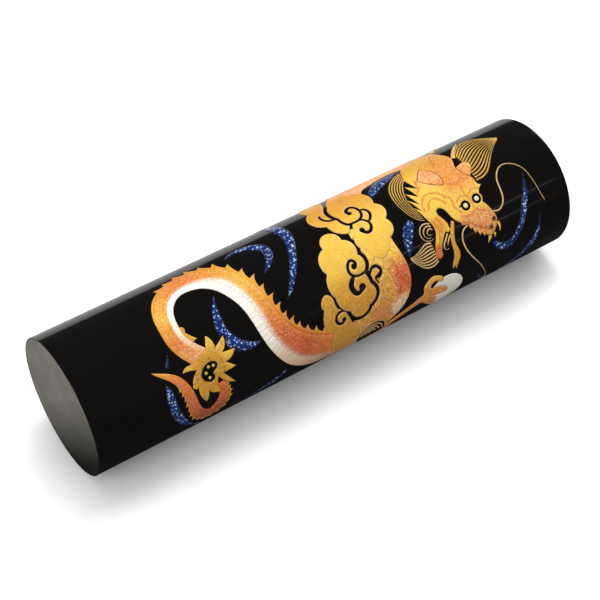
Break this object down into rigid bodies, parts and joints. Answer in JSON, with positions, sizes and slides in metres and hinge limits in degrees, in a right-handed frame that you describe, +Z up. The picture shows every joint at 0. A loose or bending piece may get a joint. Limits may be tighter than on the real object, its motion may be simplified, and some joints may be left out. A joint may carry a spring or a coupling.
{
  "type": "round name seal stick",
  "caption": "Round black-lacquered seal stick with a bare flat working end, a crowned far end and raised gold cloud and dragon decoration.",
  "frame": {"origin": "under the middle of the stick, on the surface that it lies on", "axes": "+X along the stick, from the bare working end to the crowned far end; +Z up; the dragon's face is on the -Y side, above the middle"},
  "size_m": [0.06, 0.0152, 0.0151],
  "materials": {
    "core": "sanded flat and left bare at the working end, standing in for horn",
    "black_lacquer": "polished black lacquer",
    "gold_powder": "fine gold powder in lacquer, burnished",
    "orange_gold_powder": "red gold powder in lacquer, burnished",
    "rose_gold_powder": "rose gold powder in lacquer, burnished",
    "silver_powder": "silver powder in lacquer, burnished",
    "blue_glitter": "blue shell and glitter flakes under clear lacquer"
  },
  "bodies": {
    "root": {"back_cloud": "gold_powder", "beard": "gold_powder", "cheek_curl": "gold_powder", "claw": "orange_gold_powder", "cloud_ribbon": "gold_powder", "core_stick": "core", "fangs": "gold_powder", "foreleg": "orange_gold_powder", "front_belly": "silver_powder", "front_body": "orange_gold_powder", "head": "gold_powder", "horns": "gold_powder", "jaw_hooks": "gold_powder", "lacquer_coat": "black_lacquer", "left_ear": "rose_gold_powder", "leg_curl": "gold_powder", "lower_cloud": "gold_powder", "mane_front": "gold_powder", "mane_rear": "gold_powder", "neck_belly": "silver_powder", "neck_body": "orange_gold_powder", "neck_crest": "gold_powder", "pearl": "silver_powder", "pupils": "gold_powder", "rear_belly": "silver_powder", "rear_body": "orange_gold_powder", "rear_crest": "gold_powder", "right_ear": "rose_gold_powder", "small_cloud": "gold_powder", "stream_1": "blue_glitter", "stream_10": "blue_glitter", "stream_11": "blue_glitter", "stream_12": "blue_glitter", "stream_2": "blue_glitter", "stream_3": "blue_glitter", "stream_4": "blue_glitter", "stream_5": "blue_glitter", "stream_6": "blue_glitter", "stream_7": "blue_glitter", "stream_8": "blue_glitter", "stream_9": "blue_glitter", "tail_beads": "gold_powder", "tail_fin": "gold_powder", "tail_loop": "orange_gold_powder", "tail_loop_crest": "gold_powder", "tail_tuft": "gold_powder", "tongue": "gold_powder", "upper_cloud": "gold_powder", "whisker_lower": "gold_powder", "whisker_upper": "gold_powder"}
  },
  "joints": []
}
